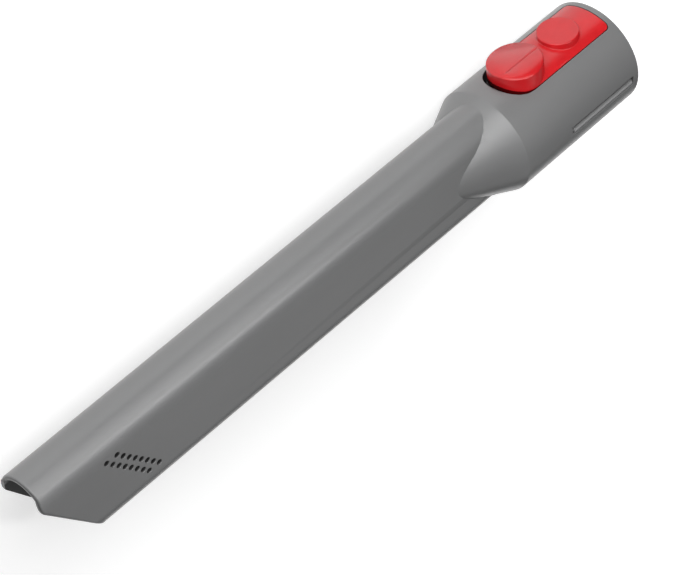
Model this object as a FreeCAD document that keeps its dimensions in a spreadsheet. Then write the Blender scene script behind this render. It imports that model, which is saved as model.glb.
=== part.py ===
"""Vacuum crevice tool: grey nozzle body, red release catch and the catch's coil spring.

Modelled in the frame of use (mouth of the socket at the origin, tip along +X, near flat side +Y, catch +Z),
then laid on its far flat side. Millimetres and degrees.
"""
import FreeCAD, Part
import math
import os

import Sketcher
from FreeCAD import Placement, Rotation, Vector

SIZES = {
    # socket, and the layers from it out to the collar's skin
    "socket_radius": 19.3,
    "socket_depth": 26.0,
    "socket_lead": 0.4,
    "guide_length": 9.0,
    "grip_step": 0.3,
    "floor_wall": 1.5,
    "plate_clearance": 0.3,
    "plate_thickness": 2.25,
    "plate_sink": 0.15,
    # collar and shoulder
    "collar_length": 68.0,
    "rim_bevel": 0.7,
    "shoulder_length": 28.8,
    "shoulder_bite": 0.4,
    # duct behind the socket
    "duct_step": 2.8,
    "duct_drop": -1.6,
    "duct_taper": 18.0,
    "duct_bite": 1.5,
    "duct_overlap": 4.5,
    # nozzle
    "nozzle_overlap": 1.5,
    "nozzle_top": 21.9,
    "nozzle_bottom": 23.3,
    "nozzle_rise": 0.47,
    "nozzle_half_width": 10.85,
    "nozzle_wall": 1.9,
    "tip_length": 306.4,
    "slant_angle": 36.5,
    "slant_start": 12.7,
    "knee_round": 8.0,
    "lip_round": 1.1,
    # bleed holes
    "vent_radius": 1.2,
    "vent_pitch": 3.47,
    "vent_count": 8,
    "vent_setback": 39.9,
    "vent_row_gap": 4.85,
    "vent_lift": 1.4,
    "vent_angle": 38.0,
    # bead and channel on each side of the collar
    "bead_angle": 94.0,
    "bead_radius": 1.15,
    "bead_proud": 0.3,
    "bead_start": 5.0,
    "bead_length": 35.6,
    "channel_radius": 3.6,
    "channel_depth": 1.2,
    "channel_overrun": 1.2,
    # window and pocket for the catch
    "window_rear": 3.0,
    "window_half_width": 11.75,
    "window_corner": 2.4,
    "window_front_gap": 1.9,
    "pocket_depth": 6.2,
    "pocket_setback": 3.2,
    # catch
    "catch_gap": 0.35,
    "disc_centre": 47.3,
    "disc_rise": 5.0,
    "disc_fall": 5.0,
    "disc_bevel": 0.5,
    "ridge_offset": 2.6,
    "score_width": 1.5,
    "score_depth": 0.4,
    "score_rear": 10.9,
    "score_length": 18.4,
    "pad_centre": 21.5,
    "pad_radius": 8.6,
    "pad_rise": 1.85,
    "pad_bevel": 0.35,
    # catch pivot and latch tooth
    "pivot_x": 31.0,
    "pivot_depth": 6.5,
    "pin_radius": 1.0,
    "pin_clearance": 0.05,
    "pin_length": 1.5,
    "pin_end_gap": 0.3,
    "lug_radius": 2.0,
    "lug_thickness": 2.2,
    "tooth_setback": 1.6,
    "tooth_length": 4.0,
    "tooth_half_width": 5.0,
    "tooth_reach": 1.5,
    "tooth_clearance": 0.5,
    # spring, its seat and its recess
    "spring_radius": 3.3,
    "wire_radius": 0.4,
    "spring_turns": 2.5,
    "seat_rise": 0.3,
    "seat_margin": 0.9,
    "peg_gap": 0.7,
    "peg_height": 1.1,
    "recess_gap": 0.6,
    "recess_roof": 4.6,
}

GRIP = "(sizes.socket_radius - sizes.grip_step)"
POCKET_REAR = "(sizes.socket_radius + sizes.floor_wall)"
PLATE_INNER = "(%s + sizes.plate_clearance)" % POCKET_REAR
PLATE_OUTER = "(%s + sizes.plate_thickness)" % PLATE_INNER
COLLAR = "(%s + sizes.plate_sink)" % PLATE_OUTER
DUCT = "(%s - sizes.duct_step)" % GRIP
NOZZLE_ROOT = "(sizes.collar_length - sizes.nozzle_overlap)"
TOP_AXIS = "(sizes.nozzle_top - sizes.nozzle_half_width)"
TOOTH_START = "(sizes.guide_length + sizes.tooth_setback)"
DISC_RADIUS = "(sizes.window_half_width - sizes.catch_gap)"
DISC_RIDGE = "(%s + sizes.disc_rise)" % COLLAR
PAD_TOP = "(%s + sizes.pad_rise)" % COLLAR
POCKET_FRONT = "(%s - sizes.pocket_depth)" % COLLAR
PIVOT_Z = "(%s - sizes.pivot_depth)" % COLLAR
SPRING_SEAT = "(%s + sizes.seat_rise)" % POCKET_FRONT
SPRING_OUTER = "(sizes.spring_radius + sizes.wire_radius)"
RECESS_TOP = "(%s - sizes.recess_roof)" % DISC_RIDGE

doc = FreeCAD.newDocument("crevice_tool")
sheet = doc.addObject("Spreadsheet::Sheet", "sizes")
for row, (alias, value) in enumerate(SIZES.items(), start=1):
    sheet.set("A%d" % row, alias)
    sheet.set("B%d" % row, repr(value))
    sheet.setAlias("B%d" % row, alias)
doc.recompute()

LAID_DOWN = Placement(Vector(0, 0, 0), Rotation(Vector(1, 0, 0), 90))


def size(name):
    """Value of one sheet cell."""
    return float(sheet.get(name))


def worked_out(text):
    """Value of an expression on the sheet's cells."""
    return evaluate(sheet, text)


def new_body(label):
    body = doc.addObject("PartDesign::Body", label)
    body.Label = label
    return body


def plane_of(body, role):
    """One of the body's own origin planes."""
    return next(f for f in body.Origin.OriginFeatures if f.Role == role)


def new_sketch(body, name, role, offset=None, turn=None, axis=Vector(0, 0, 1)):
    """Sketch on an origin plane; offset is an expression along its normal, turn an angle about axis."""
    sketch = body.newObject("Sketcher::SketchObject", name)
    sketch.AttachmentSupport = [(plane_of(body, role), "")]
    sketch.MapMode = "FlatFace"
    if offset:
        sketch.setExpression("AttachmentOffset.Base.z", offset)
    if turn:
        sketch.AttachmentOffset = Placement(Vector(0, 0, 0), Rotation(axis, 1))
        sketch.setExpression("AttachmentOffset.Rotation.Angle", turn)
    return sketch


def constrain(sketch, kind, *refs, value=None):
    """Adds a constraint; a dimension is bound to its expression."""
    if value is None:
        sketch.addConstraint(Sketcher.Constraint(kind, *refs))
        return
    number = value if isinstance(value, (int, float)) else evaluate(sketch, value)
    index = sketch.addConstraint(Sketcher.Constraint(kind, *refs, number))
    if not isinstance(value, (int, float)):
        sketch.setExpression("Constraints[%d]" % index, value)


def evaluate(obj, text):
    result = obj.evalExpression(text)
    return float(getattr(result, "Value", result))


def corners(sketch, points):
    """Closed polygon whose corners are pairs of expressions, fixed to the sketch's origin."""
    spots = [Vector(evaluate(sketch, x), evaluate(sketch, y), 0) for x, y in points]
    count = len(points)
    for i in range(count):
        sketch.addGeometry(Part.LineSegment(spots[i], spots[(i + 1) % count]), False)
    for i in range(count):
        constrain(sketch, "Coincident", i, 2, (i + 1) % count, 1)
    for i, (x, y) in enumerate(points):
        pin_point(sketch, i, 1, x, y)


def pin_point(sketch, geometry, spot, x, y):
    """Holds a point at (x, y) from the sketch's origin; geometry -1 and -2 are the sketch's own axes."""
    for kind, axis, text in (("DistanceX", -2, x), ("DistanceY", -1, y)):
        if text == "0":
            constrain(sketch, "PointOnObject", geometry, spot, axis)
        else:
            constrain(sketch, kind, -1, 1, geometry, spot, value=text)


def circle(sketch, x, y, radius):
    spot = Vector(evaluate(sketch, x), evaluate(sketch, y), 0)
    index = sketch.addGeometry(Part.Circle(spot, Vector(0, 0, 1), evaluate(sketch, radius)), False)
    pin_point(sketch, index, 3, x, y)
    constrain(sketch, "Radius", index, value=radius)


def half_round(sketch, radius, lower):
    """Half disc on the sketch's origin, above its level axis or below it."""
    first = math.pi if lower else 0.0
    reach = evaluate(sketch, radius)
    arc = Part.ArcOfCircle(Part.Circle(Vector(0, 0, 0), Vector(0, 0, 1), reach), first, first + math.pi)
    sketch.addGeometry(arc, False)
    sketch.addGeometry(Part.LineSegment(arc.EndPoint, arc.StartPoint), False)
    constrain(sketch, "Coincident", 0, 2, 1, 1)
    constrain(sketch, "Coincident", 1, 2, 0, 1)
    constrain(sketch, "Horizontal", 1)
    constrain(sketch, "PointOnObject", 0, 1, -1)
    pin_point(sketch, 0, 3, "0", "0")
    constrain(sketch, "Radius", 0, value=radius)


def tombstone(sketch, rear, half_width, front_centre, corner):
    """Plan outline of the window: rounded rear corners, straight sides, half-round front."""
    back, half, front, bend = (evaluate(sketch, text) for text in (rear, half_width, front_centre, corner))
    normal = Vector(0, 0, 1)
    pieces = [
        Part.LineSegment(Vector(back + bend, -half, 0), Vector(front, -half, 0)),
        Part.ArcOfCircle(Part.Circle(Vector(front, 0, 0), normal, half), -math.pi / 2, math.pi / 2),
        Part.LineSegment(Vector(front, half, 0), Vector(back + bend, half, 0)),
        Part.ArcOfCircle(Part.Circle(Vector(back + bend, half - bend, 0), normal, bend),
                         math.pi / 2, math.pi),
        Part.LineSegment(Vector(back, half - bend, 0), Vector(back, bend - half, 0)),
        Part.ArcOfCircle(Part.Circle(Vector(back + bend, bend - half, 0), normal, bend),
                         math.pi, 1.5 * math.pi),
    ]
    for piece in pieces:
        sketch.addGeometry(piece, False)
    for i in range(6):
        constrain(sketch, "Tangent", i, 2, (i + 1) % 6, 1)
    constrain(sketch, "Horizontal", 0)
    constrain(sketch, "Vertical", 4)
    pin_point(sketch, 1, 3, front_centre, "0")
    constrain(sketch, "Radius", 1, value=half_width)
    constrain(sketch, "Radius", 3, value=corner)
    constrain(sketch, "Equal", 3, 5)
    constrain(sketch, "DistanceX", -1, 1, 4, 1, value=rear)


def feature(body, kind, name, sketch, **values):
    """PartDesign feature on a sketch; text values become expressions."""
    item = body.newObject("PartDesign::" + kind, name)
    item.Profile = sketch
    for key, value in values.items():
        if isinstance(value, str) and "sizes." in value:
            item.setExpression(key, value)
        else:
            setattr(item, key, value)
    sketch.Visibility = False
    doc.recompute()
    return item


def turned(body, kind, name, sketch):
    """Full revolution or groove about the tool's long axis."""
    return feature(body, kind, name, sketch, ReferenceAxis=(sketch, ["H_Axis"]), Angle=360.0)


def through(body, name, sketch):
    """Pocket that runs out both ways from the sketch."""
    return feature(body, "Pocket", name, sketch, Type="ThroughAll", Midplane=True)


def low_axis(x):
    """Height of the axis of the nozzle's round underside, which rises toward the tip."""
    return "(sizes.nozzle_half_width - sizes.nozzle_bottom + (%s - %s) * tan(sizes.nozzle_rise * 1 deg))" % (
        x, NOZZLE_ROOT)


def nozzle_form(body, kind, name, x, inset, length):
    """Adds or cuts the nozzle's long form: flat sides, level round top, underside that rises to the tip."""
    wide = "(sizes.nozzle_half_width - %s)" % inset
    end = "(%s + %s)" % (x, length)
    cut = {"Type": "Length"} if kind == "Pocket" else {}
    sides = new_sketch(body, name + "_sides", "XZ_Plane")
    corners(sides, [(x, low_axis(x)), (end, low_axis(end)), (end, TOP_AXIS), (x, TOP_AXIS)])
    feature(body, kind, name, sides, Midplane=True, Length="2 * " + wide, **cut)
    for part, lower in (("top", False), ("underside", True)):
        tilt = "0 deg - sizes.nozzle_rise * 1 deg" if lower else None
        end_view = new_sketch(body, "%s_%s_outline" % (name, part), "YZ_Plane", x, tilt, Vector(1, 0, 0))
        end_view.setExpression("AttachmentOffset.Base.y", low_axis(x) if lower else TOP_AXIS)
        half_round(end_view, wide, lower)
        feature(body, kind, "%s_%s" % (name, part), end_view, Length=length,
                Reversed=kind == "Pocket", **cut)


def tip_profile(sketch):
    """Side view of what is cut off the nozzle: blunt nose, rounded knee, slanted mouth."""
    angle = math.radians(size("slant_angle"))
    tip, knee, bend = size("tip_length"), size("slant_start"), size("knee_round")
    clear = 2 * size("nozzle_bottom")
    lead = bend * math.tan(angle / 2)
    centre = Vector(tip - bend, knee + lead, 0)
    foot = Vector(tip - (knee + clear) * math.tan(angle), -clear, 0)
    upper, lower = Vector(tip + clear, clear, 0), Vector(tip + clear, -clear, 0)
    nose = Vector(tip, knee + lead, 0)
    turn = centre + Vector(math.cos(angle), -math.sin(angle), 0) * bend
    for piece in (Part.LineSegment(Vector(tip, clear, 0), nose),
                  Part.ArcOfCircle(Part.Circle(centre, Vector(0, 0, 1), bend), -angle, 0),
                  Part.LineSegment(turn, foot), Part.LineSegment(foot, lower),
                  Part.LineSegment(lower, upper), Part.LineSegment(upper, Vector(tip, clear, 0))):
        sketch.addGeometry(piece, False)
    constrain(sketch, "Tangent", 0, 2, 1, 2)
    constrain(sketch, "Tangent", 1, 1, 2, 1)
    for first, second in ((2, 3), (3, 4), (4, 5), (5, 0)):
        constrain(sketch, "Coincident", first, 2, second, 1)
    constrain(sketch, "Vertical", 0)
    constrain(sketch, "Radius", 1, value="sizes.knee_round")
    pin_point(sketch, 1, 3, "sizes.tip_length - sizes.knee_round",
              "sizes.slant_start + sizes.knee_round * tan(sizes.slant_angle * 0.5 deg)")
    reach = "2 * sizes.nozzle_bottom"
    foot_x = "sizes.tip_length - (sizes.slant_start + %s) * tan(sizes.slant_angle * 1 deg)" % reach
    pin_point(sketch, 3, 1, foot_x, "0 - " + reach)
    pin_point(sketch, 4, 1, "sizes.tip_length + " + reach, "0 - " + reach)
    pin_point(sketch, 5, 1, "sizes.tip_length + " + reach, reach)
    constrain(sketch, "DistanceY", -1, 1, 0, 1, value=reach)


def on_outer_lip(edge):
    """True for an outer edge of the mouth: in the front half and a half-width from the nozzle's core."""
    wide, root = size("nozzle_half_width"), worked_out(NOZZLE_ROOT)
    slope = math.tan(math.radians(size("nozzle_rise")))
    spots = edge.discretize(7)
    if min(spot.x for spot in spots) < size("tip_length") / 2:
        return False
    for spot in spots:
        above = spot.z - worked_out(TOP_AXIS)
        below = wide - size("nozzle_bottom") + (spot.x - root) * slope - spot.z
        if abs(math.hypot(spot.y, max(0.0, above, below)) - wide) > 0.05:
            return False
    return True


def eased(body, kind, name, picks, amount):
    """Fillet or chamfer on those of the body's edges so far that the test picks."""
    base = body.Tip
    names = ["Edge%d" % i for i, edge in enumerate(base.Shape.Edges, start=1) if picks(edge)]
    item = body.newObject("PartDesign::" + kind, name)
    item.Base = (base, names)
    item.setExpression("Radius" if kind == "Fillet" else "Size", amount)
    doc.recompute()
    return item


def at_height(edge, low, high):
    box = edge.BoundBox
    return box.ZMin > low and box.ZMax < high


def cylinder_along_x(name, radius, length, x, y, z):
    """Round bar along the tool's axis, placed by expressions."""
    bar = doc.addObject("Part::Cylinder", name)
    bar.Placement = Placement(Vector(0, 0, 0), Rotation(Vector(0, 1, 0), 90))
    bar.setExpression("Radius", radius)
    bar.setExpression("Height", length)
    for key, text in (("x", x), ("y", y), ("z", z)):
        bar.setExpression("Placement.Base.%s" % key, text)
    return bar


def bead(name, y, z):
    """Taper-ended bar that lies in a side channel."""
    body = new_body(name)
    sketch = new_sketch(body, name + "_outline", "XZ_Plane")
    finish = "(sizes.bead_start + sizes.bead_length)"
    corners(sketch, [
        ("sizes.bead_start - sizes.bead_radius", "0"),
        ("%s + sizes.bead_radius" % finish, "0"),
        (finish, "sizes.bead_radius"),
        ("sizes.bead_start", "sizes.bead_radius"),
    ])
    turned(body, "Revolution", name + "_bar", sketch)
    body.setExpression("Placement.Base.y", y)
    body.setExpression("Placement.Base.z", z)
    doc.recompute()
    return body


def boolean(kind, name, base, tools):
    """Cuts the tools from the base, or fuses them to it."""
    group = doc.addObject("Part::MultiFuse", name + "_tools")
    group.Shapes = tools if kind == "Cut" else [base] + tools
    if kind == "Fuse":
        group.Label = name
        doc.recompute()
        return group
    item = doc.addObject("Part::Cut", name)
    item.Base, item.Tool = base, group
    doc.recompute()
    return item


def make_shell():
    """The grey moulding before the catch's pocket and the side beads are cut."""
    body = new_body("shell")
    outline = new_sketch(body, "collar_outline", "XZ_Plane")
    shoulder = "sizes.collar_length + sizes.shoulder_length"
    corners(outline, [
        ("0", "0"),
        (shoulder, "0"),
        (shoulder, "sizes.nozzle_half_width - sizes.shoulder_bite"),
        ("sizes.collar_length", COLLAR),
        ("sizes.rim_bevel", COLLAR),
        ("sizes.rim_bevel * 0.3", "%s - sizes.rim_bevel * 0.3" % COLLAR),
        ("0", "%s - sizes.rim_bevel" % COLLAR),
    ])
    turned(body, "Revolution", "collar", outline)
    nozzle_form(body, "Pad", "nozzle", NOZZLE_ROOT, "0",
                "(sizes.tip_length - %s + sizes.knee_round)" % NOZZLE_ROOT)

    bore = new_sketch(body, "socket_outline", "XZ_Plane")
    corners(bore, [
        ("-1 mm", "0"),
        ("sizes.socket_depth", "0"),
        ("sizes.socket_depth", GRIP),
        ("sizes.guide_length", GRIP),
        ("sizes.guide_length", "sizes.socket_radius"),
        ("sizes.socket_lead", "sizes.socket_radius"),
        ("-1 mm", "sizes.socket_radius + sizes.socket_lead + 1"),
    ])
    turned(body, "Groove", "socket", bore)
    duct = new_sketch(body, "duct_outline", "XZ_Plane")
    duct.setExpression("AttachmentOffset.Base.y", "sizes.duct_drop")
    narrow = "sizes.nozzle_half_width - sizes.nozzle_wall - sizes.duct_bite"
    corners(duct, [
        ("sizes.socket_depth - 0.5", "0"),
        ("sizes.collar_length + sizes.duct_taper", "0"),
        ("sizes.collar_length + sizes.duct_taper", narrow),
        ("sizes.collar_length", DUCT),
        ("sizes.socket_depth - 0.5", DUCT),
    ])
    turned(body, "Groove", "duct", duct)
    nozzle_form(body, "Pocket", "nozzle_duct", "(sizes.collar_length - sizes.duct_overlap)",
                "sizes.nozzle_wall", "sizes.tip_length")

    slant = new_sketch(body, "tip_outline", "XZ_Plane")
    tip_profile(slant)
    through(body, "tip_cut", slant)
    eased(body, "Fillet", "lip_edge", on_outer_lip, "sizes.lip_round")

    vents = new_sketch(body, "vent_outline", "XZ_Plane", turn="0 deg - sizes.vent_angle * 1 deg")
    place_vents(vents)
    row = through(body, "first_vents", vents)
    pattern = body.newObject("PartDesign::LinearPattern", "vents")
    pattern.Originals = [row]
    pattern.Direction = (vents, ["V_Axis"])
    pattern.setExpression("Length", "sizes.vent_pitch * (sizes.vent_count - 1)")
    pattern.setExpression("Occurrences", "sizes.vent_count")
    body.Tip = pattern
    doc.recompute()
    return body


def place_vents(sketch):
    """First hole of each row, in a sketch turned to the rows' slant."""
    half = "sizes.vent_pitch * (sizes.vent_count - 1) / 2"
    turn = "sizes.vent_angle * 1 deg"
    for sign in ("-", "+"):
        along = "(sizes.tip_length - sizes.vent_setback %s sizes.vent_row_gap / 2)" % sign
        circle(sketch, "%s * cos(%s) - sizes.vent_lift * sin(%s)" % (along, turn, turn),
               "%s * sin(%s) + sizes.vent_lift * cos(%s) - %s" % (along, turn, turn, half),
               "sizes.vent_radius")


def make_pocket_tool():
    """Space that the catch lies in: window outline down to the socket wall, deeper under the thumb disc."""
    body = new_body("pocket_space")
    plan = new_sketch(body, "window_plan", "XY_Plane")
    tombstone(plan, "sizes.window_rear", "sizes.window_half_width",
              "sizes.disc_centre + sizes.window_front_gap", "sizes.window_corner")
    feature(body, "Pad", "window", plan, Length="%s + 5" % COLLAR)
    floor = new_sketch(body, "pocket_floor", "XZ_Plane")
    corners(floor, [
        ("-5 mm", "0"),
        ("sizes.collar_length", "0"),
        ("sizes.collar_length", POCKET_FRONT),
        ("sizes.pivot_x - sizes.pocket_setback", POCKET_FRONT),
        ("sizes.pivot_x - sizes.pocket_setback", POCKET_REAR),
        ("-5 mm", POCKET_REAR),
    ])
    turned(body, "Groove", "pocket_floor_cut", floor)
    return body


def make_body():
    shell = make_shell()
    pocket = make_pocket_tool()
    reach = "%s - sizes.channel_depth + sizes.channel_radius" % COLLAR
    crest = "%s + sizes.bead_proud - sizes.bead_radius" % COLLAR
    channels, beads = [], []
    for side, sign in (("near", ""), ("far", "-")):
        y, z = [["%s(%s) * %s(sizes.bead_angle * 1 deg)" % (lead, out, trig) for out in (reach, crest)]
                for lead, trig in ((sign, "sin"), ("", "cos"))]
        channels.append(cylinder_along_x(
            side + "_channel", "sizes.channel_radius", "sizes.bead_length + 2 * sizes.channel_overrun",
            "sizes.bead_start - sizes.channel_overrun", y[0], z[0]))
        beads.append(bead(side + "_bead", y[1], z[1]))
    pin_hole = doc.addObject("Part::Cylinder", "pin_hole")
    pin_hole.Placement = Placement(Vector(0, 0, 0), Rotation(Vector(1, 0, 0), -90))
    span = "(%s + sizes.pin_length + sizes.pin_end_gap)" % DISC_RADIUS
    pin_hole.setExpression("Radius", "sizes.pin_radius + sizes.pin_clearance")
    pin_hole.setExpression("Height", "2 * " + span)
    pin_hole.setExpression("Placement.Base.x", "sizes.pivot_x")
    pin_hole.setExpression("Placement.Base.y", "-" + span)
    pin_hole.setExpression("Placement.Base.z", PIVOT_Z)
    slot = doc.addObject("Part::Box", "tooth_slot")
    slot.setExpression("Length", "sizes.tooth_length + 2 * sizes.tooth_clearance")
    slot.setExpression("Width", "2 * (sizes.tooth_half_width + sizes.tooth_clearance)")
    slot.setExpression("Height", "%s - %s + 3" % (POCKET_REAR, GRIP))
    slot.setExpression("Placement.Base.x", "%s - sizes.tooth_clearance" % TOOTH_START)
    slot.setExpression("Placement.Base.y", "-(sizes.tooth_half_width + sizes.tooth_clearance)")
    slot.setExpression("Placement.Base.z", "%s - 2.5" % GRIP)
    hollowed = boolean("Cut", "hollowed", shell, [pocket, pin_hole, slot] + channels)
    low = "%s - 1" % POCKET_FRONT
    seat = upright("spring_seat_block", "%s + sizes.seat_margin" % SPRING_OUTER, low, SPRING_SEAT)
    peg = upright("spring_peg", "sizes.spring_radius - sizes.wire_radius - sizes.peg_gap", low,
                  "%s + sizes.peg_height" % SPRING_SEAT)
    whole = boolean("Fuse", "body", hollowed, beads + [seat, peg])
    whole.Placement = LAID_DOWN
    return whole


def upright(name, radius, low, high):
    """Round post under the thumb disc."""
    post = doc.addObject("Part::Cylinder", name)
    post.setExpression("Radius", radius)
    post.setExpression("Height", "%s - (%s)" % (high, low))
    post.setExpression("Placement.Base.x", "sizes.disc_centre")
    post.setExpression("Placement.Base.z", low)
    return post


def make_catch():
    """Red lever: curved plate, thumb disc, rear disc, pivot lugs, pins and latch tooth."""
    body = new_body("release_catch")
    plan = new_sketch(body, "plate_plan", "XY_Plane")
    tombstone(plan, "sizes.window_rear + sizes.catch_gap", DISC_RADIUS,
              "sizes.disc_centre", "sizes.window_corner - sizes.catch_gap")
    feature(body, "Pad", "plate", plan, Length="%s + 1" % PLATE_OUTER)
    outside = new_sketch(body, "plate_outside", "XZ_Plane")
    band = ("-5 mm", "sizes.collar_length")
    beyond = "%s + sizes.window_half_width" % PLATE_OUTER
    corners(outside, [(band[0], PLATE_OUTER), (band[1], PLATE_OUTER), (band[1], beyond), (band[0], beyond)])
    turned(body, "Groove", "plate_curve", outside)

    disc = new_sketch(body, "disc_plan", "XY_Plane")
    circle(disc, "sizes.disc_centre", "0", DISC_RADIUS)
    feature(body, "Pad", "thumb_disc", disc, Length="%s + 1" % DISC_RIDGE)
    roof = new_sketch(body, "roof_outline", "YZ_Plane")
    wide = "(%s + 2)" % DISC_RADIUS
    far_eave, near_eave = ["%s - (%s %s sizes.ridge_offset) * tan(sizes.disc_fall * 1 deg)" % (
        DISC_RIDGE, wide, sign) for sign in "+-"]
    peak = "%s + 5" % DISC_RIDGE
    corners(roof, [("-" + wide, far_eave), ("sizes.ridge_offset", DISC_RIDGE), (wide, near_eave),
                   (wide, peak), ("-" + wide, peak)])
    through(body, "thumb_roof", roof)
    bevel_half(body, "near_disc_edge", True)
    bevel_half(body, "far_disc_edge", False)
    score = new_sketch(body, "score_outline", "YZ_Plane", "sizes.disc_centre - sizes.score_rear")
    corners(score, [("sizes.ridge_offset - sizes.score_width / 2", "%s + 0.5" % DISC_RIDGE),
                    ("sizes.ridge_offset", "%s - sizes.score_depth" % DISC_RIDGE),
                    ("sizes.ridge_offset + sizes.score_width / 2", "%s + 0.5" % DISC_RIDGE)])
    feature(body, "Pocket", "score_line", score, Type="Length", Reversed=True, Length="sizes.score_length")

    pad = new_sketch(body, "pad_plan", "XY_Plane")
    circle(pad, "sizes.pad_centre", "0", "sizes.pad_radius")
    feature(body, "Pad", "rear_disc", pad, Length=PAD_TOP)
    top, span = worked_out(PAD_TOP), size("pad_radius")
    eased(body, "Chamfer", "pad_edge",
          lambda edge: at_height(edge, top - 0.01, top + 0.01) and on_rim(edge, size("pad_centre"), span),
          "sizes.pad_bevel")

    inside = new_sketch(body, "plate_inside", "XZ_Plane")
    corners(inside, [(band[0], "0"), (band[1], "0"),
                     (band[1], PLATE_INNER), (band[0], PLATE_INNER)])
    turned(body, "Groove", "underside", inside)
    recess = new_sketch(body, "recess_plan", "XY_Plane")
    circle(recess, "sizes.disc_centre", "0", "%s + sizes.recess_gap" % SPRING_OUTER)
    feature(body, "Pocket", "spring_recess", recess, Type="Length", Reversed=True, Length=RECESS_TOP)

    for side, sign in (("near", 1), ("far", -1)):
        make_lug(body, side, sign)
    tooth = new_sketch(body, "tooth_outline", "XZ_Plane")
    bottom = "(%s - sizes.tooth_reach)" % GRIP
    root = "(%s + sizes.plate_thickness / 3)" % PLATE_INNER
    corners(tooth, [
        (TOOTH_START, root),
        (TOOTH_START, "%s + sizes.tooth_reach * 0.8" % bottom),
        ("%s + sizes.tooth_length * 0.4" % TOOTH_START, bottom),
        ("%s + sizes.tooth_length" % TOOTH_START, bottom),
        ("%s + sizes.tooth_length" % TOOTH_START, root),
    ])
    feature(body, "Pad", "latch_tooth", tooth, Midplane=True, Length="2 * sizes.tooth_half_width")
    body.Placement = LAID_DOWN
    doc.recompute()
    return body


def bevel_half(body, name, near):
    """Bevel along the thumb disc's rim on one side of the ridge, about an axis square to that roof half."""
    sign, lead = ("-", "") if near else ("+", "-")
    sketch = new_sketch(body, name + "_outline", "YZ_Plane", "sizes.disc_centre",
                        "0 deg %s sizes.disc_fall * 1 deg" % sign)
    apex = "%s %s sizes.ridge_offset * tan(sizes.disc_fall * 1 deg)" % (DISC_RIDGE, "+" if near else "-")
    sketch.setExpression("AttachmentOffset.Base.y", apex)
    inner = "%s(%s - 2 * sizes.disc_bevel)" % (lead, DISC_RADIUS)
    outer = "%s(%s + sizes.disc_bevel)" % (lead, DISC_RADIUS)
    corners(sketch, [
        (inner, "sizes.disc_bevel"),
        (outer, "0 - 2 * sizes.disc_bevel"),
        (outer, "sizes.disc_bevel"),
    ])
    feature(body, "Groove", name, sketch, ReferenceAxis=(sketch, ["V_Axis"]), Midplane=True,
            Angle="180 deg %s 2 * asin(sizes.ridge_offset / %s)" % (sign, DISC_RADIUS))


def on_rim(edge, middle, reach):
    """True for an edge that follows a disc's wall."""
    spots = edge.discretize(5)
    return all(abs(math.hypot(spot.x - middle, spot.y) - reach) < 0.02 for spot in spots)


def make_lug(body, side, sign):
    """Ear under the plate's edge, with its pivot pin."""
    outer = DISC_RADIUS if sign > 0 else "-" + DISC_RADIUS
    root = "%s - 0.5" % PLATE_INNER
    lug = new_sketch(body, side + "_lug_outline", "XZ_Plane", "0 - (%s)" % outer)
    corners(lug, [
        ("sizes.pivot_x - sizes.lug_radius", root),
        ("sizes.pivot_x - sizes.lug_radius", PIVOT_Z),
        ("sizes.pivot_x - sizes.lug_radius * 0.7", "%s - sizes.lug_radius * 0.7" % PIVOT_Z),
        ("sizes.pivot_x", "%s - sizes.lug_radius" % PIVOT_Z),
        ("sizes.pivot_x + sizes.lug_radius * 0.7", "%s - sizes.lug_radius * 0.7" % PIVOT_Z),
        ("sizes.pivot_x + sizes.lug_radius", PIVOT_Z),
        ("sizes.pivot_x + sizes.lug_radius", root),
    ])
    feature(body, "Pad", side + "_lug", lug, Length="sizes.lug_thickness", Reversed=sign < 0)
    pin = new_sketch(body, side + "_pin_outline", "XZ_Plane", "0 - (%s)" % outer)
    circle(pin, "sizes.pivot_x", PIVOT_Z, "sizes.pin_radius")
    feature(body, "Pad", side + "_pin", pin, Length="sizes.pin_length", Reversed=sign > 0)


def make_spring():
    """Coil of six-sided wire between the pocket's seat and the recess in the thumb disc."""
    body = new_body("catch_spring")
    wire = new_sketch(body, "wire_outline", "XZ_Plane")
    spoke = "sizes.wire_radius / cos(30 deg)"
    corners(wire, [("sizes.spring_radius + %s * cos(%d deg)" % (spoke, turn),
                    "sizes.wire_radius + %s * sin(%d deg)" % (spoke, turn)) for turn in range(0, 360, 60)])
    coil = body.newObject("PartDesign::AdditiveHelix", "coil")
    coil.Profile = wire
    coil.ReferenceAxis = (wire, ["V_Axis"])
    coil.Mode = "height-turns-angle"
    coil.setExpression("Height", "%s - %s - 2 * sizes.wire_radius" % (RECESS_TOP, SPRING_SEAT))
    coil.setExpression("Turns", "sizes.spring_turns")
    body.Placement = LAID_DOWN
    body.setExpression("Placement.Base.x", "sizes.disc_centre")
    body.setExpression("Placement.Base.y", "-" + SPRING_SEAT)
    doc.recompute()
    return body


def check(item):
    """Stops on a broken solid."""
    states = [state for state in item.State if state in ("Invalid", "Error")]
    shape = item.Shape
    if states or shape.isNull() or not shape.isValid() or len(shape.Solids) != 1:
        raise RuntimeError("%s: %s, %d solids" % (item.Label, states, len(shape.Solids)))


pieces = {"body": make_body(), "release_catch": make_catch(), "catch_spring": make_spring()}
doc.recompute()
for item in doc.Objects:
    if any(state in ("Invalid", "Error") for state in item.State):
        raise RuntimeError("%s did not build: %s" % (item.Name, item.State))
os.makedirs("parts", exist_ok=True)
for label, item in pieces.items():
    check(item)
    item.Shape.exportStep("parts/%s.step" % label)
    box = item.Shape.BoundBox
    print(label, "volume %.0f" % item.Shape.Volume, "x %.2f..%.2f y %.2f..%.2f z %.2f..%.2f" % (
        box.XMin, box.XMax, box.YMin, box.YMax, box.ZMin, box.ZMax))
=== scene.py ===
"""Looks of a vacuum crevice tool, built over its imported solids.

The row frame is in metres: +X runs to the tip, -Y is the catch's side and +Z is up
out of the flat side. Sizes of the pieces are fields in millimetres, and sizes of the
finishes and the studio are in metres.
"""

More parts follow.
